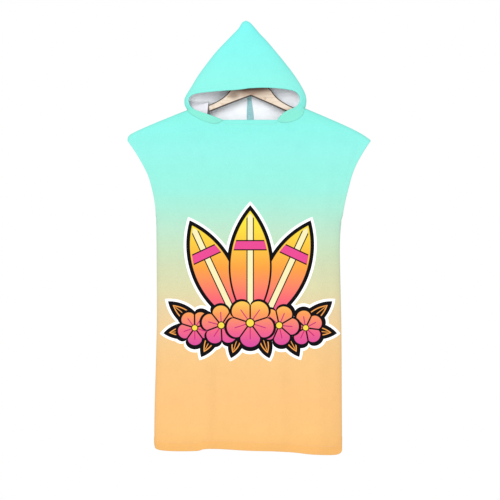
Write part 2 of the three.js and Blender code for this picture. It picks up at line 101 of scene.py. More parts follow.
drape = {
    "underarm": 6,  # row of the side edges where the armhole ends
    "ridgeRadius": 9,  # turn of the cloth over the shoulders and the hood's sides
    "sideRadius": 6,
    "turnPower": 4,
    "cuffFrom": 210,  # the sleeves lie flatter from here to their tips
    "cuffOver": 170,
    "cuffDrop": 0.5,
    "seamGap": 0.4,
    "middleX": -4, "bodyMiddle": (0, -600), "hoodMiddle": (-16, -90),  # the cloth faces away from these
    "cornerReach": 9,  # how far round a corner of the cut the cloth is made to face aside
    "tightCorners": [(163, -186), (-200, -178), (280, -1206), (-303, -1206)],
    "hemCorner": {"left": (-301.2, -1212), "right": (279.2, -1216)},
    "hoodTurn": 10,  # row of the hood's sides at the face opening's corners
    "faceTurn": {"left": 7, "right": 6},
}
front, back = -1, 1
both = ("left", "right")


# How the rows of points are spaced along a line
def evenly(t):
    return t


def closeAtStart(t):
    return t ** 2


def closeAtEnd(t):
    return 1 - (1 - t) ** 2


def closeAtBothEnds(t):
    return (1 - np.cos(np.pi * t)) / 2


def unit(vectors):
    return vectors / np.linalg.norm(vectors, axis=-1, keepdims=True)


def shares(count, spacing=evenly):
    return spacing(np.linspace(0, 1, count + 1))


def alongLine(line):
    return np.append(0, np.cumsum(np.linalg.norm(np.diff(line, axis=0), axis=1)))


# The rows of a table at places between those where they were reached
def pickAt(wanted, reached, rows):
    return np.column_stack([np.interp(wanted, reached, column) for column in np.transpose(rows)])


# A smooth curve through the points of an outline, cut at the given shares of its length
def alongCurve(rows, cuts):
    rows = np.array(rows, float)
    padded = np.vstack([2 * rows[0] - rows[1], rows, 2 * rows[-1] - rows[-2]])
    steps = np.linspace(0, 1, 24, endpoint=False)[:, None]
    fine = []
    for before, start, end, after in zip(padded, padded[1:], padded[2:], padded[3:]):
        gaps = [math.sqrt(np.linalg.norm(b - a)) for a, b in ((before, start), (start, end), (end, after))]
        leave = (start - before) / gaps[0] - (end - before) / (gaps[0] + gaps[1]) + (end - start) / gaps[1]
        arrive = (end - start) / gaps[1] - (after - start) / (gaps[1] + gaps[2]) + (after - end) / gaps[2]
        leave, arrive = leave * gaps[1], arrive * gaps[1]
        fine.append(
            start + leave * steps + (3 * (end - start) - 2 * leave - arrive) * steps ** 2
            + (2 * (start - end) + leave + arrive) * steps ** 3
        )
    fine = np.vstack(fine + [rows[-1:]])
    reached = alongLine(fine)
    wanted = np.asarray(cuts) * reached[-1]
    return pickAt(wanted, reached, fine)


def progress(line):
    reached = alongLine(line)
    return reached / reached[-1]


# Fills the area between four lines of points. Rows run from the bottom line to the top one.
def patch(bottom, top, left, right):
    u = ((progress(bottom) + progress(top)) / 2)[None, :, None]
    v = ((progress(left) + progress(right)) / 2)[:, None, None]
    corners = bottom[0] * (1 - u) * (1 - v) + bottom[-1] * u * (1 - v) + top[0] * (1 - u) * v + top[-1] * u * v
    return bottom[None] * (1 - v) + top[None] * v + left[:, None] * (1 - u) + right[:, None] * u - corners


# Evens out a grid near the places where its border turns sharply
def relax(places, corners, reach=24, rounds=80, upright=0.95):
    away = np.stack([np.linalg.norm(places - corner, axis=-1) for corner in corners]).min(0)
    weight = np.exp(-(away / reach) ** 2)[1:-1, 1:-1, None]
    for _ in range(rounds):
        tall, wide = places[2:, 1:-1] + places[:-2, 1:-1], places[1:-1, 2:] + places[1:-1, :-2]
        places[1:-1, 1:-1] += weight * (tall * upright / 2 + wide * (1 - upright) / 2 - places[1:-1, 1:-1])
    return places


def distanceTo(line, places):
    start, run = line[:-1], np.diff(line, axis=0)
    away = places[..., None, :] - start
    along = np.clip((away * run).sum(-1) / (run ** 2).sum(-1), 0, 1)
    return np.linalg.norm(away - along[..., None] * run, axis=-1).min(-1)


def smoothStep(t):
    t = np.clip(t, 0, 1)
    return t * t * (3 - 2 * t)


def fullDepth(z, side):
    heights, values = depths[:, 0], depths[:, 1 if side == front else 2]
    last = len(heights) - 1
    ahead, behind = np.minimum(np.arange(last + 1) + 1, last), np.maximum(np.arange(last + 1) - 1, 0)
    slopes = (values[ahead] - values[behind]) / (heights[ahead] - heights[behind])
    z = np.clip(z, heights[-1], heights[0])
    i = np.clip(np.searchsorted(-heights, -z, side="right") - 1, 0, last - 1)
    span = heights[i + 1] - heights[i]
    t = (z - heights[i]) / span
    return (
        (2 * t ** 3 - 3 * t ** 2 + 1) * values[i] + (t ** 3 - 2 * t ** 2 + t) * slopes[i] * span
        + (3 * t ** 2 - 2 * t ** 3) * values[i + 1] + (t ** 3 - t ** 2) * slopes[i + 1] * span
    )


# Folds that hang from the shoulders to the hem: top x and z, x at the hem, half width, rise
hangingFolds = {
    front: [
        (-128, -330, -150, 34, 7), (-52, -420, -66, 42, -5), (36, -520, 30, 40, 5), (118, -340, 132, 36, -6),
        (188, -420, 212, 30, 6),
    ],
    back: [
        (-150, -360, -178, 36, -6), (-80, -330, -92, 36, 7), (10, -450, 4, 46, -5), (92, -340, 108, 36, 7),
        (160, -400, 192, 34, -5),
    ],
}
hemLine = -1202

# How steeply a crease rises from each of its ends, and the share of its height that it has there
creaseEnds = {"start": (3, 0.6), "end": (2.2, 0.4)}
# Soft creases: from x and z, to x and z, half width, rise
creases = {
    front: [
        (-196, -226, -150, -330, 13, 1.6), (-170, -240, -108, -400, 16, -1.7), (160, -222, 118, -330, 13, 1.5),
        (190, -236, 140, -420, 17, -1.6), (-262, -300, -232, -520, 14, 1.8), (-244, -560, -262, -900, 15, -1.6),
        (246, -320, 214, -560, 14, 1.7), (232, -640, 246, -1010, 14, -1.8), (-210, -900, -228, -1190, 12, 2.2),
        (-108, -960, -112, -1222, 15, -2.4), (2, -1010, -8, -1222, 13, 1.8), (84, -920, 92, -1226, 14, 2.2),
        (168, -980, 158, -1234, 10, -2.6), (244, -1050, 252, -1232, 10, 1.8), (-60, -236, 62, -250, 15, -1.2),
        (-118, -262, -10, -300, 17, 1.1), (8, -292, 116, -262, 16, 1.1), (-330, -262, -296, -350, 11, 1.4),
        (318, -262, 290, -356, 11, 1.4), (-150, -560, -96, -760, 22, 1.2), (70, -600, 118, -820, 20, -1.2),
        (-178, -92, -96, -70, 10, 1.4), (150, -84, 66, -62, 11, 1.3), (-120, -18, -60, 20, 11, -1.2),
        (88, -26, 34, 26, 11, -1.1), (-44, -60, -30, 40, 12, 1.0), (30, -84, 8, 10, 12, -1.0),
        (-190, -176, -140, -196, 6, 0.9), (150, -172, 112, -196, 6, 0.9),
    ],
    back: [
        (-190, -232, -128, -360, 14, 2.9), (156, -228, 112, -352, 14, 2.7), (-132, -240, -70, -430, 17, -2.9),
        (92, -238, 58, -420, 17, -2.7), (-70, -226, 64, -224, 12, -2.1), (-240, -420, -256, -760, 16, 2.7),
        (226, -400, 244, -740, 16, -2.6), (-230, -920, -246, -1200, 12, 2.7), (-34, -900, -38, -1220, 14, -3.0),
        (60, -980, 66, -1222, 13, 2.7), (148, -860, 138, -1226, 14, -3.1), (228, -1000, 238, -1222, 10, 2.7),
        (-140, -820, -132, -1218, 13, 2.7), (-318, -262, -284, -372, 12, 2.4), (306, -262, 276, -368, 12, 2.4),
        (-178, -138, -98, -143, 7, -4.1), (-150, -158, -70, -176, 9, 1.9), (150, -120, 84, -150, 9, -2.7),
        (132, -160, 60, -172, 9, 1.6), (-110, -40, -34, -100, 13, 2.3), (78, -30, 22, -96, 12, -2.2),
        (-50, 20, -28, -44, 9, 1.6),
    ],
}


def foldRise(places, side):
    x, z = places[..., 0], places[..., 1]
    rise = np.zeros_like(x)
    for topX, topZ, hemX, width, height in hangingFolds[side]:
        down = (z - topZ) / (hemLine - topZ)
        middle = topX + (hemX - topX) * np.clip(down, 0, 1)
        rise += height * smoothStep(down) * np.exp(-((x - middle) / width) ** 2)
    (steepIn, atStart), (steepOut, atEnd) = creaseEnds["start"], creaseEnds["end"]
    for startX, startZ, endX, endZ, width, height in creases[side]:
        run = np.array([endX - startX, endZ - startZ], float)
        away = places - (startX, startZ)
        along = (away @ run) / (run @ run)
        across = (away[..., 0] * run[1] - away[..., 1] * run[0]) / np.linalg.norm(run)
        taper = smoothStep(along * steepIn + atStart) * smoothStep((1 - along) * steepOut + atEnd)
        rise += height * taper * np.exp(-(across / width) ** 2)
    return rise


# How far the cloth stands out at each place. It falls to nothing in a round turn at each closed edge.
def standsOut(places, side, closedEdges):
    beyond = np.abs(places[..., 0] - drape["middleX"]) - drape["cuffFrom"]
    full = fullDepth(places[..., 1], side) * (1 - drape["cuffDrop"] * smoothStep(beyond / drape["cuffOver"]))
    shut = np.ones_like(full)
    for line, radius in closedEdges:
        share = np.minimum(distanceTo(line, places) * radius / full ** 2, 1)
        shut += np.maximum(np.sqrt(1 - (1 - share) ** 2), 1e-3) ** -drape["turnPower"] - 1
    openness = shut ** (-1 / drape["turnPower"])
    return full * openness + foldRise(places, side) * openness ** 2


def onCloth(places, side, closedEdges):
    depth = np.hypot(standsOut(places, side, closedEdges), drape["seamGap"] / 2)
    return np.stack([places[..., 0], side * depth, places[..., 1]], -1)


# Which way the cloth faces at each place. At a closed edge it faces away from the middle, square to the edge.
def facingAt(places, side, closedEdges, middle, step=0.25):
    slopes = [
        (standsOut(places + move, side, closedEdges) - standsOut(places - move, side, closedEdges)) / 2 / step
        for move in (np.array([step, 0]), np.array([0, step]))
    ]
    facing = np.stack([-slopes[0], np.full_like(slopes[0], side), -slopes[1]], -1)
    for line, _ in closedEdges:
        atEdge = distanceTo(line, places) < 2 * step
        for index in zip(*np.nonzero(atEdge)):
            place = places[index]
            nearest = np.argmin(np.linalg.norm((line[:-1] + line[1:]) / 2 - place, axis=1))
            run = line[nearest + 1] - line[nearest]
            square = unit(np.array([run[1], -run[0]]))
            square *= math.copysign(1, square @ (place - middle))
            facing[index] = (square[0], 0, square[1])
    return unit(facing)


# The points of a grid by number, and its quads
def quadsOf(grid):
    rows, columns = grid.shape[:2]
    index = np.arange(rows * columns).reshape(rows, columns)
    quads = np.stack([index[:-1, :-1], index[:-1, 1:], index[1:, 1:], index[1:, :-1]], -1)
    return index, quads.reshape(-1, 4)


def meshOf(name, points, faces):
    mesh = bpy.data.meshes.new(name)
    mesh.from_pydata((points * mm).tolist(), [], faces)
    return mesh


def addPiece(name, mesh):
    mesh.polygons.foreach_set("use_smooth", np.ones(len(mesh.polygons), bool))
    piece = bpy.data.objects.new(name, mesh)
    bpy.context.scene.collection.objects.link(piece)
    return piece


# Which way each point of a grid faces. Facing is 1 or -1, for the two sides of the grid.
def normalsOf(grid, facing):
    quads = quadsOf(grid)[1]
    mesh = meshOf("normals", grid.reshape(-1, 3), (quads if facing > 0 else quads[:, ::-1]).tolist())
    normals = np.zeros(grid.size)
    mesh.vertex_normals.foreach_get("vector", normals)
    bpy.data.meshes.remove(mesh)
    return normals.reshape(grid.shape)


def borderOf(array):
    return np.concatenate([array[0], array[1:, -1], array[-1, -2::-1], array[-2:0:-1, 0]])


rim = {"segments": 4, "seamBulge": 0.15, "hemStep": 1.2}


# Thickens a grid of outer points into a closed shell with a rounded rim. hems holds, for each point, how far
# it lies from the nearest free edge: the cloth is doubled over as far as the hem reaches.
def clothShell(name, grid, facing, thickness, hemThickness, hemWidth, hems, isFree, normals=None):
    if normals is None:
        normals = normalsOf(grid, facing)
    index, outerQuads = quadsOf(grid)
    doubled = 1 - smoothStep((hems - hemWidth) / rim["hemStep"])
    wall = (thickness + (hemThickness - thickness) * doubled)[..., None]
    inner = grid - normals * wall
    inwards = np.zeros_like(grid)
    inwards[0] += grid[1] - grid[0]
    inwards[-1] += grid[-2] - grid[-1]
    inwards[:, 0] += grid[:, 1] - grid[:, 0]
    inwards[:, -1] += grid[:, -2] - grid[:, -1]
    lengths = np.linalg.norm(inwards, axis=-1, keepdims=True)
    outwards = -inwards / np.maximum(lengths, 1e-6)
    loop, count = borderOf(index), index.size
    edge = {key: value.reshape(count, -1)[loop] for key, value in
            {"outer": grid, "inner": inner, "normal": normals, "out": outwards, "wall": wall}.items()}
    bulge = np.where(isFree.reshape(-1)[loop], 1.0, rim["seamBulge"])[:, None]
    middle = (edge["outer"] + edge["inner"]) / 2
    rings = []
    for step in range(1, rim["segments"]):
        angle = math.pi * step / rim["segments"]
        side = edge["out"] * math.sin(angle) * bulge
        rings.append(middle + (edge["normal"] * math.cos(angle) + side) * edge["wall"] / 2)
    points = np.vstack([grid.reshape(-1, 3), inner.reshape(-1, 3)] + rings)
    between = [2 * count + i * len(loop) + np.arange(len(loop)) for i in range(len(rings))]
    lines = [loop] + between + [loop + count]
    rimQuads = [np.stack([b, np.roll(b, -1), np.roll(a, -1), a], -1) for a, b in zip(lines, lines[1:])]
    quads = np.vstack([outerQuads, outerQuads[:, ::-1] + count] + rimQuads)
    if facing < 0:
        quads = quads[:, ::-1]
    mesh = meshOf(name, points, quads.tolist())
    inside = np.zeros(len(quads), np.int32)
    inside[len(outerQuads):2 * len(outerQuads)] = 1
    mesh.polygons.foreach_set("material_index", inside)
    hemBand = np.concatenate([doubled.reshape(-1)] * 2 + [np.ones(len(loop))] * len(rings))
    mesh.attributes.new("hemBand", "FLOAT", "POINT").data.foreach_set("value", hemBand)
    mesh.validate()
    return addPiece(name, mesh), normals


# How far each point of a grid lies from one of its borders, along the grid's own lines
def distanceIn(grid, border):
    lines = grid.swapaxes(0, 1) if border in both else grid
    backwards = -1 if border in ("top", "right") else 1
    lengths = np.linalg.norm(np.diff(lines[::backwards], axis=0), axis=-1)
    reached = np.vstack([np.zeros_like(lengths[:1]), np.cumsum(lengths, axis=0)])[::backwards]
    return reached.T if border in both else reached


# Presses a stitched groove into the cloth beside a free edge, and lets the hem roll up a little between
def stitchGroove(grid, normals, hems, hemWidth, groove):
    pressed = -groove["depth"] * np.exp(-((hems - hemWidth) / groove["width"]) ** 2)
    rolled = groove["roll"] * np.sin(np.pi * np.clip(hems / hemWidth, 0, 1))
    return grid + normals * (pressed + rolled)[..., None]


towelling = {"thickness": 2.0, "hemThickness": 3.4}
groove = {"depth": 0.7, "width": 2.2, "roll": 0.45}
cells = {
    "shoulder": 22, "collar": 20, "neckline": 12, "sideSeam": 84, "armhole": 34,
    "hoodSide": 44, "hoodCollar": 22, "hoodAcross": 26, "closedSeam": 60,
}
hemWidths = {"hem": 25, "cuff": 14, "neckline": 13, "face": 15}
hemSteps = [0, 0.4, 1.5, 4, 8, 13, 18, 22, 25, 28, 32, 37, 43, 50]  # rows of points up through the hem
sideSeamLength = 700
# How soon a cuff's hem ends below the armhole, and the neckline's hem beside the neckline
hemFade = {"row": 9, "column": 8}
noHem = 99

neckStart = cells["shoulder"] + cells["collar"]  # column of the front where the neckline begins
closed = {}
for side in both:
    edge = outlines[side + "Edge"][::-1]
    turn = len(edge) - 1 - drape["underarm"]
    closed[side + "Seam"] = alongCurve(edge[:turn + 1], shares(cells["closedSeam"]))
    closed[side + "Armhole"] = alongCurve(edge[turn:], shares(cells["armhole"], closeAtEnd))
    shoulder = outlines[side + "Shoulder"][::-1]
    closed[side + "Shoulder"] = alongCurve(shoulder, shares(cells["shoulder"], closeAtStart))
    hoodEdge, turn = outlines[side + "Hood"], drape["hoodTurn"]
    closed[side + "Hood"] = np.vstack([
        alongCurve(hoodEdge[:turn + 1], shares(cells["hoodSide"], closeAtStart)),
        alongCurve(hoodEdge[turn:], shares(cells["hoodCollar"]))[1:],
    ])
closedOnBody = [(closed[side + "Shoulder"], drape["ridgeRadius"]) for side in both]
for side in both:
    wholeSeam = np.vstack([[drape["hemCorner"][side]], closed[side + "Seam"]])
    closedOnBody.append((wholeSeam, drape["sideRadius"]))
closedOnHood = [(closed[side + "Hood"], drape["ridgeRadius"]) for side in both]


# The neck seam on one side, moved off its middle: towards the hood, or away from it
def neckSeam(side, part, count, towardsHood):
    line = alongCurve(outlines[side + part], shares(count, closeAtBothEnds))
    run = np.gradient(line, axis=0)
    turn = 1 if side == "left" else -1
    across = unit(np.column_stack([-run[:, 1], run[:, 0]])) * turn
    line += across * towardsHood * drape["seamGap"] / 2
    if towardsHood < 0:  # the panel's corner stays on the line of the shoulder
        shoulder = closed[side + "Shoulder"]
        line[0] = shoulder[-1] + unit(shoulder[-2] - shoulder[-1]) * drape["seamGap"] / 2
    return line


# Near a corner of the cut the cloth faces away from the poncho's middle
def faceAside(grid, facings, corners):
    for corner in corners:
        near = np.linalg.norm(grid[..., [0, 2]] - corner, axis=-1) < drape["cornerReach"]
        facings[near, 0] = np.abs(facings[near, 0]) * np.sign(corner[0])


# Front or back of the poncho
def bodyPanel(name, side, hem, necks):
    leftNeck, rightNeck = (neckSeam(which, necks, cells["collar"], -1) for which in both)
    rightNeck = rightNeck[::-1]
    necklineCuts = shares(cells["neckline"])[1:-1, None] if side == front else np.zeros((0, 1))
    neckline = leftNeck[-1] + (rightNeck[0] - leftNeck[-1]) * necklineCuts
    if side == back:
        rightNeck = rightNeck[1:]
    top = np.vstack([
        closed["leftShoulder"][:-1], leftNeck, neckline, rightNeck, closed["rightShoulder"][-2::-1],
    ])
    hemCuts = np.array(hemSteps) / sideSeamLength
    seamCuts = np.append(hemCuts[:-1], np.linspace(hemCuts[-1], 1, cells["sideSeam"] - len(hemCuts)))
    sides = []
    for which in both:
        edge = outlines[which + "Edge"][::-1]
        seam = alongCurve(edge[:len(edge) - drape["underarm"]], seamCuts)
        sides.append(np.vstack([seam, closed[which + "Armhole"][1:]]))
    bottom = alongCurve(outlines[hem], shares(len(top) - 1, closeAtBothEnds))
    places = relax(patch(bottom, top, *sides), drape["tightCorners"])
    grid = onCloth(places, side, closedOnBody)
    rows, columns = grid.shape[:2]
    seamRows = len(seamCuts) - 1
    hems = distanceIn(grid, "bottom") * hemWidths["cuff"] / hemWidths["hem"]
    for border in both:
        belowArm = np.maximum(seamRows - np.arange(rows), 0)[:, None] * hemFade["row"]
        hems = np.minimum(hems, distanceIn(grid, border) + belowArm)
    if side == front:
        fromNeck = distanceIn(grid, "top") * hemWidths["cuff"] / hemWidths["neckline"]
        between = np.arange(columns) - neckStart
        aside = np.maximum(-between, between - cells["neckline"]).clip(0) * hemFade["column"]
        hems = np.minimum(hems, fromNeck + aside)
    wayOut = facingAt(places, side, closedOnBody, drape["bodyMiddle"])
    faceAside(grid, wayOut, [bottom[0], bottom[-1], leftNeck[0], rightNeck[-1], *drape["hemCorner"].values()])
    grid = stitchGroove(grid, wayOut, hems, hemWidths["cuff"], groove)
    isFree = np.zeros((rows, columns), bool)
    isFree[0] = True
    isFree[seamRows + 1:, [0, -1]] = True
    if side == front:
        isFree[-1, neckStart:-neckStart] = True
    piece, _ = clothShell(name, grid, -side, *towelling.values(), hemWidths["cuff"], hems, isFree, wayOut)
    return piece, grid, wayOut


frontPanel, frontGrid, frontNormals = bodyPanel("frontPanel", front, "frontHem", "Collar")
backPanel, backGrid, backNormals = bodyPanel("backPanel", back, "backHem", "Nape")
print("front and back:", len(frontPanel.data.polygons), len(backPanel.data.polygons), "faces")


# A row of places from one point to another, bowed like a given line
def bowed(start, end, line, spacing, weight):
    cuts = shares(len(line) - 1, spacing)[:, None]
    bow = line - (line[0] + (line[-1] - line[0]) * cuts)
    return start + (end - start) * cuts + bow * weight


# Half of the hood, in rows from the line between brow and point down to the neck seam
def hoodHalf(side):
    neckFront, neckBack = (neckSeam(side, part, cells["hoodAcross"], 1) for part in ("Collar", "Nape"))
    neckFront = neckFront[::-1]
    face, turn = outlines[side + "Face"], drape["faceTurn"][side]
    rimLine = np.vstack([
        alongCurve(face[:turn + 1], shares(cells["hoodSide"])),
        alongCurve(face[turn:], shares(cells["hoodCollar"]))[1:-1],
        neckFront[:1],
    ])
    edge = np.vstack([closed[side + "Hood"][:-1], neckFront[-1:]])
    point, nape = np.array(outlines["leftHood"][0]), np.array(outlines["leftNape"][-1])
    aside = drape["seamGap"] / 2 * (-1 if side == "left" else 1)
    rows, facings = [], []
    for j, onEdge in enumerate(edge):
        collar = max(0, (j - cells["hoodSide"]) / cells["hoodCollar"])
        seamZ = onEdge[1] + (neckBack[-1][1] - onEdge[1]) * collar
        seamX = point[0] + (nape[0] - point[0]) * (seamZ - point[1]) / (nape[1] - point[1])
        seam = np.array([seamX + (aside if j else 0), seamZ])
        ahead = bowed(rimLine[j], onEdge, neckFront, closeAtBothEnds, collar ** 2)
        behind = bowed(onEdge, seam, neckBack, closeAtBothEnds, collar ** 2)
        shutEdges, middle = closedOnHood, drape["hoodMiddle"]
        if collar == 1:
            shutEdges, middle = closedOnBody, drape["bodyMiddle"]
        frontRow, backRow = onCloth(ahead, front, shutEdges), onCloth(behind, back, shutEdges)
        frontFacing = facingAt(ahead, front, shutEdges, middle)
        backFacing = facingAt(behind, back, shutEdges, middle)
        frontRow[-1, 1] = 0
        if j == 0:
            backRow[:, 1] = 0
            backFacing[:] = (0, 0, 1)
        rows.append(np.vstack([frontRow, backRow[1:]]))
        facings.append(np.vstack([frontFacing, backFacing[1:]]))
    return np.array(rows), np.array(facings)


(rightHalf, rightFacings), (leftHalf, leftFacings) = hoodHalf("right"), hoodHalf("left")
hoodGrid = np.concatenate([rightHalf[:0:-1], leftHalf])
hoodFacings = np.concatenate([rightFacings[:0:-1], leftFacings])
# At the shoulders the hood's corners face mostly as their neighbours do, and partly their own way
ownShare = 0.4
for row, inwards in ((0, 1), (-1, -1)):
    around = slice(cells["hoodAcross"] - 1, cells["hoodAcross"] + 2)
    hoodFacings[row, around] = unit(hoodFacings[row + inwards, around] + ownShare * hoodFacings[row, around])
faceAside(hoodGrid, hoodFacings, [outlines["leftCollar"][0], outlines["rightCollar"][0]])
hoodHems = distanceIn(hoodGrid, "left")
hoodGrid = stitchGroove(hoodGrid, hoodFacings, hoodHems, hemWidths["face"], groove)
freeOnHood = np.zeros(hoodGrid.shape[:2], bool)
freeOnHood[1:-1, 0] = True
hood, hoodNormals = clothShell(
    "hoodCloth", hoodGrid, 1, *towelling.values(), hemWidths["face"], hoodHems, freeOnHood, hoodFacings,
)
print("hood:", len(hood.data.polygons), "faces")

# The hood's seam allowances, pressed open inside on both sides of the back seam
flaps = {
    "width": 10.2, "narrow": 0.46, "narrowFrom": -192, "narrowOver": 75, "thickness": 1.2, "lift": 0.35,
    "top": 45, "start": 0.15, "columns": 10, "wave": 0.35, "waveLength": 9, "stitchIn": 2.2,
}


# A strip of cloth with no hem. Its last column is its free edge.
def plainStrip(name, outer, facing, thickness):
    hems = np.full(outer.shape[:2], noHem)
    isFree = np.zeros(outer.shape[:2], bool)
    isFree[:, -1] = True
    return clothShell(name, outer, facing, thickness, thickness, 1, hems, isFree)[0]


def seamFlap(name, half, halfNormals, direction):
    inner = half - halfNormals * towelling["thickness"]
    chosen = [j for j in range(1, len(half)) if inner[j, -1, 2] <= flaps["top"]]
    seam = inner[chosen, -1]
    normals = halfNormals[chosen, -1]
    run = np.gradient(seam, axis=0)
    outwards = np.cross(normals, run)
    outwards *= (np.sign(outwards[:, :1]) * direction) / np.linalg.norm(outwards, axis=1, keepdims=True)
    lines = []
    for i, j in enumerate(chosen):
        narrowing = smoothStep((seam[i, 2] - flaps["narrowFrom"]) / flaps["narrowOver"])
        width = flaps["width"] * (1 - (1 - flaps["narrow"]) * narrowing)
        across = np.linspace(flaps["start"], width, flaps["columns"])
        reached = np.linalg.norm(inner[j] - seam[i], axis=1)[::-1]
        body = pickAt(across, reached, inner[j][::-1])
        facing = unit(pickAt(across, reached, halfNormals[j][::-1]))
        share = across / width
        curl = flaps["wave"] * (1 + math.sin(seam[i, 2] / flaps["waveLength"] + direction)) * share ** 3
        lines.append(body - facing * (flaps["lift"] + curl)[:, None])
    grid = np.array(lines)
    wayIn = normalsOf(grid, 1)
    facing = 1 if (wayIn * -halfNormals[chosen, -1][:, None]).sum() > 0 else -1
    outer = grid + normalsOf(grid, facing) * flaps["thickness"]
    return plainStrip(name, outer, facing, flaps["thickness"]), outer


half = len(rightHalf) - 1
rightFlap, rightFlapGrid = seamFlap("seamFlapRight", hoodGrid[half::-1], hoodNormals[half::-1], 1)
leftFlap, leftFlapGrid = seamFlap("seamFlapLeft", hoodGrid[half:], hoodNormals[half:], -1)

# On the left the hood's cloth is drawn in a fold over the arm of the hanger. Its path, from the bottom up, is
# given where it leaves the rim and at its free edge: x there, and y and z.
foldOver = {
    "rimX": [-186, -192, -196, -198, -199, -200, -200, -200],
    "rim": [
        (-9, -200), (-8.6, -188), (-8, -178), (-5.5, -170), (-1, -165), (4, -159), (8, -151), (10, -142),
    ],
    "edgeX": [-128, -129.5, -131.6, -133.4, -134.5, -134.8, -134, -133],
    "edge": [
        (-9.6, -199), (-9.9, -182), (-10.2, -168), (-9.8, -156), (-7.5, -148), (-1, -145.5), (7, -148),
        (14, -155),
    ],
    "rows": 40, "columns": 30, "bend": 1.5, "thickness": 1.8,
}


def overArm():
    cuts, ends = shares(foldOver["rows"]), []
    for which in ("rim", "edge"):
        aside = foldOver[which + "X"]
        x = np.interp(cuts * (len(aside) - 1), np.arange(len(aside)), aside)
        ends.append(np.column_stack([x, alongCurve(foldOver[which], cuts)])[:, None])
    across = np.linspace(0, 1, foldOver["columns"])[None, :, None]
    bent = across ** foldOver["bend"]
    grid = ends[0] * (1 - bent) + ends[1] * bent
    grid[..., :1] = (ends[0] * (1 - across) + ends[1] * across)[..., :1]
    return plainStrip("hoodFold", grid, 1, foldOver["thickness"])


hoodFold = overArm()

# Stitches, each a short round thread that dips into the cloth at both ends
thread = {
    "pitch": 3.5, "length": 2.7, "radius": 0.34, "sides": 5, "rings": 5, "lift": 0.18, "dip": 2.2,
    "zigzag": 1.1,
}


def stitchRow(points, normals, turn=0.0):
    reached = alongLine(points)
    steps = np.linspace(-1, 1, thread["rings"])
    sides = np.arange(thread["sides"])[:, None] * 2 * math.pi / thread["sides"]
    shells = []
    for i in range(int(reached[-1] // thread["pitch"])):
        middle = (i + 0.5) * thread["pitch"]
        at = np.clip(middle + steps * thread["length"] / 2, 0, reached[-1])
        path = pickAt(at, reached, points)
        up, along = unit(pickAt(middle, reached, normals)[0]), unit(path[-1] - path[0])
        aside = np.cross(up, along)
        path += aside * (steps * turn * (-1) ** i)[:, None]
        path += up * (thread["lift"] - thread["radius"] * thread["dip"] * steps ** 4)[:, None]
        around = (aside * np.cos(sides) + up * np.sin(sides)) * thread["radius"]
        shells.append((path[:, None] + around[None]).reshape(-1, 3))
    return np.vstack(shells)


# The faces of one stitch: a tube and its two ends
def tubeFaces(rings, sides):
    ring, faces = np.arange(sides), []
    for start in range(0, (rings - 1) * sides, sides):
        a, b = start + ring, start + np.roll(ring, -1)
        faces += np.stack([a, b, b + sides, a + sides], 1).tolist()
    return faces + [ring[::-1].tolist(), ((rings - 1) * sides + ring).tolist()]


# A line across the grid at a set distance from one of its borders, where the stitches run
def lineAt(grid, normals, border, distance):
    away = distanceIn(grid, border)
    stacks = np.concatenate([grid, normals], -1)
    if border in ("bottom", "top"):
        away, stacks = away.T, stacks.swapaxes(0, 1)
    if border in ("top", "right"):
        away, stacks = away[:, ::-1], stacks[:, ::-1]
    found = np.vstack([pickAt(distance, a, stack) for a, stack in zip(away, stacks)])
    return found[:, :3], found[:, 3:]


def stitches(name, lines):
    points = np.vstack([stitchRow(*line) for line in lines])
    tube, each = tubeFaces(thread["rings"], thread["sides"]), thread["rings"] * thread["sides"]
    faces = [[start + corner for corner in face] for start in range(0, len(points), each) for face in tube]
    return addPiece(name, meshOf(name, points, faces))


def panelStitches(name, grid, normals, side):
    above = grid.shape[0] - 1 - cells["armhole"]
    hemPoints, hemNormals = lineAt(grid, normals, "bottom", hemWidths["hem"])
    lines = [(hemPoints[1:-1], hemNormals[1:-1])]
    for border in both:
        points, facing = lineAt(grid, normals, border, hemWidths["cuff"])
        lines.append((points[above + 2:-3], facing[above + 2:-3]))
    if side == front:
        points, facing = lineAt(grid, normals, "top", hemWidths["neckline"])
        span = slice(neckStart - 1, 1 - neckStart)
        lines.append((points[span], facing[span]))
    return stitches(name, lines)


frontStitches = panelStitches("frontStitches", frontGrid, frontNormals, front)
backStitches = panelStitches("backStitches", backGrid, backNormals, back)
facePoints, faceNormals = lineAt(hoodGrid, hoodNormals, "left", hemWidths["face"])
hoodStitches = stitches("hoodStitches", [(facePoints[2:-2], faceNormals[2:-2])])
flapLines = []
for grid in (rightFlapGrid, leftFlapGrid):
    points, facing = lineAt(grid, normalsOf(grid, 1), "right", flaps["stitchIn"])
    facing *= -np.sign(facing[:, 1].sum())
    flapLines.append((points, facing, thread["zigzag"]))
flapStitches = stitches("flapStitches", flapLines)
sewn = (frontStitches, backStitches, hoodStitches, flapStitches)
print("stitches:", sum(len(piece.data.polygons) for piece in sewn), "faces")


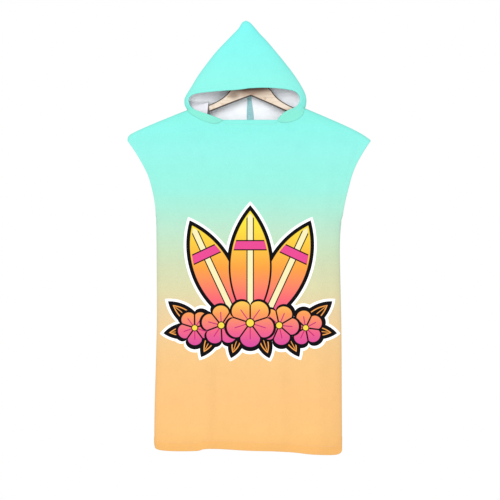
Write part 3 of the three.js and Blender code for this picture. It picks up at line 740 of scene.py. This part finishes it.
# Materials. A field is one socket of a shader, with arithmetic that adds Math nodes.
class Field:
    def __init__(self, tree, socket):
        self.tree, self.socket = tree, socket

    def math(self, kind, *others):
        node = self.tree.nodes.new("ShaderNodeMath")
        node.operation = kind
        for slot, value in zip(node.inputs, (self, *others)):
            if isinstance(value, Field):
                self.tree.links.new(value.socket, slot)
            else:
                slot.default_value = value
        return Field(self.tree, node.outputs[0])

    def __add__(self, other):
        return self.math("ADD", other)

    def __sub__(self, other):
        return self.math("SUBTRACT", other)

    def __mul__(self, other):
        return self.math("MULTIPLY", other)

    def __truediv__(self, other):
        return self.math("DIVIDE", other)

    def __neg__(self):
        return self.math("MULTIPLY", -1.0)

    def size(self):
        return self.math("ABSOLUTE")

    def root(self):
        return self.math("SQRT")

    def atMost(self, other):
        return self.math("MINIMUM", other)

    def atLeast(self, other):
        return self.math("MAXIMUM", other)

    def held(self):
        return self.atLeast(0.0).atMost(1.0)

    # 1 where the value is below the edge, 0 above it
    def below(self, edge, blur=0.8):
        step = (self * (-1 / blur)) + (edge / blur + 0.5)
        step.socket.node.use_clamp = True
        return step


def linear(colour, depth=1.0):
    shares = [part / 255 for part in colour]
    shares = [part / 12.92 if part <= 0.04045 else ((part + 0.055) / 1.055) ** 2.4 for part in shares]
    return tuple(depth * part for part in shares) + (1,)


def mixColours(tree, factor, first, second, blend="MIX"):
    node = tree.nodes.new("ShaderNodeMix")
    node.data_type = "RGBA"
    node.blend_type = blend
    for index, value in ((0, factor), (6, first), (7, second)):
        value = value.socket if isinstance(value, Field) else value
        if isinstance(value, bpy.types.NodeSocket):
            tree.links.new(value, node.inputs[index])
        else:
            node.inputs[index].default_value = value
    return node.outputs[2]


# Lays colours over one another, each where its mask is 1
def paint(tree, colour, layers):
    for mask, above in layers:
        colour = mixColours(tree, mask, colour, above)
    return colour


def shadedBy(tree, colour, shade):
    return mixColours(tree, 1.0, colour, shade, "MULTIPLY")


def newMaterial(name, **settings):
    material = bpy.data.materials.new(name)
    material.use_nodes = True
    tree = material.node_tree
    for socket, value in settings.items():
        tree.nodes["Principled BSDF"].inputs[socket.replace("_", " ")].default_value = value
    return material, tree, tree.nodes.new("ShaderNodeTexCoord").outputs["Object"]


# x, y and z in millimetres
def partsOf(tree, place):
    parts = tree.nodes.new("ShaderNodeSeparateXYZ")
    tree.links.new(place, parts.inputs[0])
    return [Field(tree, socket) * 1000 for socket in parts.outputs]


def texture(tree, kind, vector, output, **settings):
    node = tree.nodes.new("ShaderNodeTex" + kind)
    for socket, value in settings.items():
        node.inputs[socket].default_value = value
    tree.links.new(vector, node.inputs["Vector"])
    return Field(tree, node.outputs[output])


def noiseOf(tree, vector, scale, detail=2.0, roughness=0.5):
    return texture(tree, "Noise", vector, "Fac", Scale=scale, Detail=detail, Roughness=roughness)


def rampOf(tree, factor, stops, depth=1.0):
    node = tree.nodes.new("ShaderNodeValToRGB")
    ramp = node.color_ramp
    while len(ramp.elements) < len(stops):
        ramp.elements.new(0.5)
    for element, (position, colour) in zip(ramp.elements, sorted(stops)):
        element.position = position
        element.color = linear(colour, depth)
    tree.links.new(factor.socket, node.inputs[0])
    return node.outputs["Color"]


# Colours at given heights
def hueOf(tree, z, hues):
    low, high = min(hues)[0], max(hues)[0]
    share = (z - low) / (high - low)
    return rampOf(tree, share, [((height - low) / (high - low), colour) for height, colour in hues], dyeDepth)


# Joins colour and bumps to the shader. Each bump has its height, strength and distance.
def finished(material, colour, bumps=()):
    tree = material.node_tree
    shader, normal = tree.nodes["Principled BSDF"], None
    tree.links.new(colour, shader.inputs["Base Color"])
    for height, strength, distance in bumps:
        node = tree.nodes.new("ShaderNodeBump")
        node.inputs["Strength"].default_value = strength
        node.inputs["Distance"].default_value = distance
        tree.links.new(height.socket, node.inputs["Height"])
        if normal:
            tree.links.new(normal, node.inputs["Normal"])
        normal = node.outputs[0]
    if normal:
        tree.links.new(normal, shader.inputs["Normal"])
    return material


# The dye runs from aqua at the hood to peach at the hem: height in millimetres, colour
dye = [
    (80, (132, 250, 244)), (-10, (139, 250, 240)), (-80, (147, 249, 236)), (-190, (141, 247, 233)),
    (-235, (145, 248, 236)), (-295, (152, 247, 235)), (-356, (154, 246, 230)), (-418, (159, 244, 227)),
    (-450, (167, 241, 221)), (-480, (175, 239, 217)), (-542, (193, 234, 208)), (-604, (205, 229, 194)),
    (-666, (216, 223, 183)), (-728, (226, 222, 176)), (-790, (237, 214, 167)), (-852, (245, 210, 155)),
    (-914, (249, 205, 142)), (-976, (253, 202, 135)), (-1070, (255, 200, 131)), (-1162, (255, 200, 128)),
    (-1200, (254, 196, 121)), (-1230, (253, 194, 119)),
]
dyeDepth = 0.655  # share of the light that the palest dye gives back

# The print: three surfboards in a fan over a band of hibiscus flowers.
# Boards and leaves: x, z, half length, half width, lean. Flowers: x, z, radius, turn.
picture = {
    "centre": (-5, -698), "scale": 0.95, "white": 20, "black": 12,
    "boards": [(-116, 22, 172, 59, -25), (116, 22, 172, 59, 25), (0, 44, 182, 64, 0)],
    "boardLine": 6, "boardInset": -5, "stripe": 8.5, "stripeLine": 12, "bandAt": 70, "band": 13, "bandLine": 17,
    "leaves": [
        (-206, -116, 58, 17, -52), (206, -116, 58, 17, 52), (-214, -164, 50, 15, -97), (214, -164, 50, 15, 97),
        (-128, -190, 48, 15, -152), (128, -190, 48, 15, 152), (-44, -196, 42, 14, 198), (44, -196, 42, 14, 162),
    ],
    "leafLine": -3.5, "veinEnd": -5, "vein": 1.2,
    "flowers": [
        (-180, -154, 56, 0.3), (180, -154, 56, -0.5), (-94, -146, 64, 0.9), (94, -146, 64, 0.1),
        (0, -138, 78, 0.314),
    ],
    "flowerLine": 7, "petals": 2.5, "petalDepth": 0.4, "roundness": 0.85, "partingEnd": 4, "parting": 2.4,
    "streak": 1.5, "streakEnd": 0.68, "eye": 0.15, "eyeLine": 0.2,
    "boardHues": [
        (-150, (214, 60, 160)), (-60, (255, 110, 120)), (40, (255, 165, 70)), (190, (255, 233, 66)),
    ],
    "flowerHues": [
        (-225, (214, 70, 168)), (-165, (245, 104, 140)), (-110, (255, 158, 92)), (-70, (255, 205, 88)),
    ],
}
inks = {
    "cream": (255, 244, 190), "rose": (238, 78, 150), "amber": (255, 170, 84), "berry": (196, 40, 120),
    "yellow": (255, 226, 80),
}
outline, border = (10, 8, 12), (236, 236, 236)


# Distance to the edge of a pointed oval that leans, and the places across it and along it
def pointedOval(x, z, centreX, centreZ, halfLength, halfWidth, lean):
    turn, radius = math.radians(lean), (halfLength ** 2 + halfWidth ** 2) / (2 * halfWidth)
    x, z = x - centreX, z - centreZ
    across, along = x * math.cos(turn) - z * math.sin(turn), x * math.sin(turn) + z * math.cos(turn)
    shifted = across.size() + (radius - halfWidth)
    return (shifted * shifted + along * along).root() - radius, across, along


def printOn(tree, x, z, ground):
    art = picture
    black, white = linear(outline), linear(border)
    ink = {name: linear(colour, dyeDepth) for name, colour in inks.items()}
    x, z = (x - art["centre"][0]) / art["scale"], (z - art["centre"][1]) / art["scale"]
    boardHue, flowerHue = hueOf(tree, z, art["boardHues"]), hueOf(tree, z, art["flowerHues"])
    distances, layers = [], []
    for board in art["boards"]:
        distance, across, along = pointedOval(x, z, *board)
        inside, band = distance.below(art["boardInset"]), (along - art["bandAt"]).size()
        distances.append(distance)
        layers += [
            (distance.below(art["boardLine"]), black), (distance.below(0), boardHue),
            (across.size().below(art["stripeLine"]) * inside, black),
            (across.size().below(art["stripe"]) * inside, ink["cream"]),
            (band.below(art["bandLine"]) * inside, black), (band.below(art["band"]) * inside, ink["rose"]),
        ]
    for leaf in art["leaves"]:
        distance, across, _ = pointedOval(x, z, *leaf)
        distances.append(distance)
        layers += [
            (distance.below(0), ink["amber"]), (distance.below(art["leafLine"]), black),
            (across.size().below(art["vein"]) * distance.below(art["veinEnd"]), ink["amber"]),
        ]
    for centreX, centreZ, radius, turn in art["flowers"]:
        aside, above = x - centreX, z - centreZ
        reach = (aside * aside + above * above).root()
        petal = (above.math("ARCTAN2", aside) + turn) * art["petals"]
        swell, deep = petal.math("COSINE").size(), art["petalDepth"]
        edge = (swell.math("POWER", 0.5) * (deep * radius)) + (1 - deep) * radius
        distance = (reach - edge) * art["roundness"]
        eyeLine = reach.below(art["eyeLine"] * radius)
        parting = (reach * swell * deep).below(art["parting"]) * distance.below(art["partingEnd"])
        streak = (reach * petal.math("SINE").size() * deep).below(art["streak"])
        distances.append(distance)
        layers += [
            (distance.below(art["flowerLine"]), black), (distance.below(0), flowerHue),
            (parting * (-reach).below(-art["eyeLine"] * radius), black),
            (streak * reach.below(art["streakEnd"] * radius), ink["berry"]),
            (eyeLine, black), (reach.below(art["eye"] * radius), ink["yellow"]),
        ]
    union = distances[0]
    for distance in distances[1:]:
        union = union.atMost(distance)
    layers = [(union.below(art["white"]), white), (union.below(art["black"]), black)] + layers
    return paint(tree, ground, layers)


# Short dense pile that takes the print well, with a little sheen. Noises: scale, detail, roughness.
printed = {
    "wanderScale": 6.0, "wander": 9, "pile": (1100.0, 3.0, 0.75), "patches": (24.0, 4.0, 0.6),
    "shade": [(0.32, (230, 230, 232)), (0.6, (255, 255, 255))],
    "hemFrom": -1100, "hemTint": (253, 250, 243), "collarFrom": -168, "collarTint": (254, 249, 240),
}


def printedTowelling(name, withPicture):
    material, tree, place = newMaterial(
        name, Roughness=0.92, Sheen_Weight=0.07, Sheen_Roughness=0.5, IOR=1.35, Specular_IOR_Level=0.08,
    )
    x, y, z = partsOf(tree, place)
    wander = (noiseOf(tree, place, printed["wanderScale"]) - 0.5) * printed["wander"]
    colour = hueOf(tree, z + wander, dye)
    if withPicture:
        colour = printOn(tree, x, z, colour)
    pile, patchy = noiseOf(tree, place, *printed["pile"]), noiseOf(tree, place, *printed["patches"])
    colour = shadedBy(tree, colour, rampOf(tree, pile * 0.9 + patchy * 0.1, printed["shade"]))
    hem = tree.nodes.new("ShaderNodeAttribute")
    hem.attribute_name = "hemBand"
    foot = Field(tree, hem.outputs["Fac"]) * (z - printed["hemFrom"]).below(0.0)
    colour = shadedBy(tree, colour, paint(tree, (1, 1, 1, 1), [(foot, linear(printed["hemTint"]))]))
    if name == "printedHood":
        collar = (z - printed["collarFrom"]).below(0.0, 16.0) * y.below(-3.0, 4.0)
        colour = paint(tree, colour, [(collar, shadedBy(tree, colour, linear(printed["collarTint"])))])
    return finished(material, colour, [(patchy, 0.08, 0.002), (pile, 0.5, 0.0007)])


# The unprinted inside is a low loop pile. Where foldEdge is given, a painted shadow darkens the crease at that
# x and the fold's top ridge, and painted shade greys the cloth towards the rim of the hood.
loops = {
    "loop": 780.0, "fibres": (1500.0, 3.0, 0.7), "patches": (45.0, 3.0), "foldLean": 0.12, "foldInset": 19,
    # Places and colours of the painted shadow in the fold's crease and along its ridge, and of the painted
    # shade towards the hood's rim
    "ridgeTop": -148.0, "ridgeShadow": 28.0, "crease": 2.8, "creaseShadowGrey": (58, 50, 48),
    "rimLean": 0.55, "rimFrom": -64, "rimOver": 20, "rimShadeGrey": (150, 154, 160),
}


def loopTowelling(name, base, shaded, foldEdge=None):
    material, tree, place = newMaterial(
        name, Roughness=0.95, Sheen_Weight=0.12, Sheen_Roughness=0.5, IOR=1.35, Specular_IOR_Level=0.1,
    )
    loop = texture(tree, "Voronoi", place, "Distance", Scale=loops["loop"])
    fibres, patchy = noiseOf(tree, place, *loops["fibres"]), noiseOf(tree, place, *loops["patches"])
    colour = rampOf(tree, loop * 0.5 + patchy * 0.5, [(0.2, base), (0.75, shaded)])
    if foldEdge:
        x, _, z = partsOf(tree, place)
        # Painted shadow in the crease beside the fold's free edge and along its top ridge; painted shade
        # towards the hood's rim
        fromEdge = -(x - z * loops["foldLean"] - (foldEdge + loops["foldInset"]))
        ridgeShadow = (-z).below(-loops["ridgeTop"], 2.0) * fromEdge.below(loops["ridgeShadow"], 6.0)
        crease = fromEdge.below(loops["crease"], 1.4).atLeast(ridgeShadow * 0.6)
        rim = ((z - x * loops["rimLean"] - loops["rimFrom"]) / loops["rimOver"]).held()
        paintedShades = [(crease * 0.9, linear(loops["creaseShadowGrey"])), (rim * 0.7, linear(loops["rimShadeGrey"]))]
        colour = paint(tree, colour, paintedShades)
    return finished(material, colour, [(patchy, 0.3, 0.002), (-loop, 0.35, 0.0009), (fibres, 0.3, 0.0005)])


threadPale, threadTwist = (232, 234, 234), 1400.0


def threadMaterial(name, colour=None):
    material, tree, place = newMaterial(name, Roughness=0.6, Sheen_Weight=0.1)
    fibre = texture(tree, "Wave", place, "Fac", Scale=threadTwist)
    fibre.socket.node.bands_direction = "DIAGONAL"
    if colour:
        base = linear(colour)
    else:
        base = paint(tree, hueOf(tree, partsOf(tree, place)[2], dye), [(0.3, linear(threadPale))])
    darker = shadedBy(tree, base, (0.8, 0.8, 0.8, 1))
    return finished(material, paint(tree, darker, [(fibre, base)]), [(fibre, 0.4, 0.0002)])


# Pale wood with fine long grain and small knots, browner towards the neck of the hanger (partly the wood's
# tone, partly painted shade under the hood), with a painted shadow of the hood's rim above the neck and painted
# shade round its edges and back
wood = {
    "stretch": (12.0, 150.0, 150.0),
    "grain": [(0.28, (178, 157, 134)), (0.5, (193, 177, 158)), (0.75, (202, 189, 173))],
    "knots": [(0.54, (255, 255, 255)), (0.7, (222, 196, 168))],
    "bigKnot": (-56, -126, 15.0, 16.0, 0.8),  # x, z, radius, blur, strength
    # The brown at the neck is partly the wood's tone and partly painted shade; the second brown part is a
    # painted shadow of the hood's rim
    "neck": (82, -138, 34), "rimShadow": (100, -116, 9),  # half width, foot and rise of each brown part
    "brown": (122, 90, 66), "knotBrown": (112, 88, 68), "rimShadowBrown": (70, 50, 38),
    # painted shade on everything behind the front face: the board's edges and back
    "edgeShadeFrom": -5.99, "edgeShadeOver": 0.2, "edgeShade": (50, 34, 26),
}


def woodMaterial():
    material, tree, place = newMaterial("paleWood", Roughness=0.45, Coat_Weight=0.15, Coat_Roughness=0.3)
    x, y, z = partsOf(tree, place)
    stretch = tree.nodes.new("ShaderNodeMapping")
    stretch.inputs["Scale"].default_value = wood["stretch"]
    tree.links.new(place, stretch.inputs["Vector"])
    grain, mottle = noiseOf(tree, stretch.outputs[0], 1.0, 6.0, 0.65), noiseOf(tree, place, 55.0, 3.0, 0.6)
    colour = shadedBy(tree, rampOf(tree, grain, wood["grain"]), rampOf(tree, mottle, wood["knots"]))
    neck, rimShadow = (
        (-(x.size() / halfWidth) + 1).atLeast(0.0) * ((z - foot) / rise).held()
        for halfWidth, foot, rise in (wood["neck"], wood["rimShadow"])
    )
    knotX, knotZ, radius, blur, strength = wood["bigKnot"]
    aside, above = x - knotX, z - knotZ
    fromKnot = (aside * aside + above * above * 2).root()
    colour = paint(tree, colour, [
        # browner neck: partly the wood's tone, partly painted shade under the hood
        ((neck * 1.7).atMost(0.92), linear(wood["brown"])),
        (fromKnot.below(radius, blur) * strength, linear(wood["knotBrown"])),
        # painted shadow of the hood's rim across the top of the neck
        (rimShadow * 0.9, linear(wood["rimShadowBrown"])),
        # painted shade on the board's edges and back, away from its front face
        (((y - wood["edgeShadeFrom"]) / wood["edgeShadeOver"]).held() * 0.97, linear(wood["edgeShade"])),
    ])
    return finished(material, colour, [(grain, 0.2, 0.0004)])


def steelMaterial():
    material, tree, place = newMaterial("brushedSteel", Metallic=1.0, Roughness=0.28)
    smudge = noiseOf(tree, place, 160.0, 4.0)
    tree.links.new((smudge * 0.2 + 0.2).socket, tree.nodes["Principled BSDF"].inputs["Roughness"])
    colour = rampOf(tree, smudge, [(0.3, (176, 178, 180)), (0.7, (214, 215, 216))])
    return finished(material, colour, [(smudge, 0.1, 0.0003)])


insideCloth = loopTowelling("whiteLoops", (234, 236, 239), (214, 218, 222))
# The seam allowances show the print's teal, painted darker for the shade they lie in inside the hood
shadedFlapCloth = loopTowelling("shadedFlapTowelling", (164, 208, 212), (110, 158, 162))
paleThread = threadMaterial("paleThread")
greyThread = threadMaterial("greyThread", (122, 148, 150))


def dress(piece, *materials):
    for material in materials:
        piece.data.materials.append(material)


dress(frontPanel, printedTowelling("printedFront", True), insideCloth)
dress(backPanel, printedTowelling("printedBack", False), insideCloth)
dress(hood, printedTowelling("printedHood", False), insideCloth)
for piece in (leftFlap, rightFlap):
    dress(piece, shadedFlapCloth, shadedFlapCloth)
# The fold is the hood's white inner cloth, painted greyer for the shade deep inside the hood
shadedFoldCloth = loopTowelling("shadedFoldTowelling", (210, 209, 216), (190, 190, 197), foldEdge=-132.5)
dress(hoodFold, shadedFoldCloth, shadedFoldCloth)
for piece in sewn:
    dress(piece, greyThread if piece is flapStitches else paleThread)
for node, material in (("hanger_board", woodMaterial()), ("hanger_hook", steelMaterial())):
    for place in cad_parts[node].material_slots:
        place.material = material
print("materials made")

# Each piece rides on the root body, and the CAD panels and flaps that it replaces are hidden
for piece in (frontPanel, backPanel, hood, hoodFold, leftFlap, rightFlap, *sewn):
    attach(piece, "root")
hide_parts("front_panel")
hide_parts("back_panel")
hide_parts("hood")
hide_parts("hood_seam_flap_left")
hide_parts("hood_seam_flap_right")

# Floor, light and camera
studio = {
    "floorZ": -1.75, "floorSize": 2.6, "world": 1.0,
    "aim": (-0.0056, 0.0, -0.6045), "distance": 4.306, "lens": 100,
    "key": ((-1.9, -6.2, 1.7), 4.6, 308), "fill": ((1.9, -3.4, -1.2), 2.4, 26),
}
bpy.ops.mesh.primitive_plane_add(size=studio["floorSize"], location=(0, 0, studio["floorZ"]))
floor = bpy.context.active_object
floor.name = "floor"
floorMaterial, tree, place = newMaterial("paleFloor", Roughness=0.8)
mist = rampOf(tree, noiseOf(tree, place, 3.0), [(0.3, (238, 238, 238)), (0.7, (246, 246, 246))])
dress(floor, finished(floorMaterial, mist))

world = bpy.data.worlds.new("paleStudio")
bpy.context.scene.world = world
world.use_nodes = True
world.node_tree.nodes["Background"].inputs["Color"].default_value = (1, 1, 1, 1)
world.node_tree.nodes["Background"].inputs["Strength"].default_value = studio["world"]


def areaLight(name, place, size, power):
    light = bpy.data.lights.new(name, "AREA")
    light.shape, light.size, light.energy = "DISK", size, power
    lamp = bpy.data.objects.new(name, light)
    lamp.location = place
    lamp.rotation_euler = (Vector(studio["aim"]) - Vector(place)).to_track_quat("-Z", "Y").to_euler()
    bpy.context.scene.collection.objects.link(lamp)


areaLight("keyLight", *studio["key"])
areaLight("fillLight", *studio["fill"])

lens = bpy.data.cameras.new("camera")
lens.type, lens.lens, lens.sensor_width = "PERSP", studio["lens"], 36
camera = bpy.data.objects.new("camera", lens)
camera.location = Vector(studio["aim"]) - Vector((0, studio["distance"], 0))
camera.rotation_euler = (math.pi / 2, 0, 0)
bpy.context.scene.collection.objects.link(camera)
bpy.context.scene.camera = camera
bpy.context.scene.view_settings.view_transform = "Standard"
print("studio made")
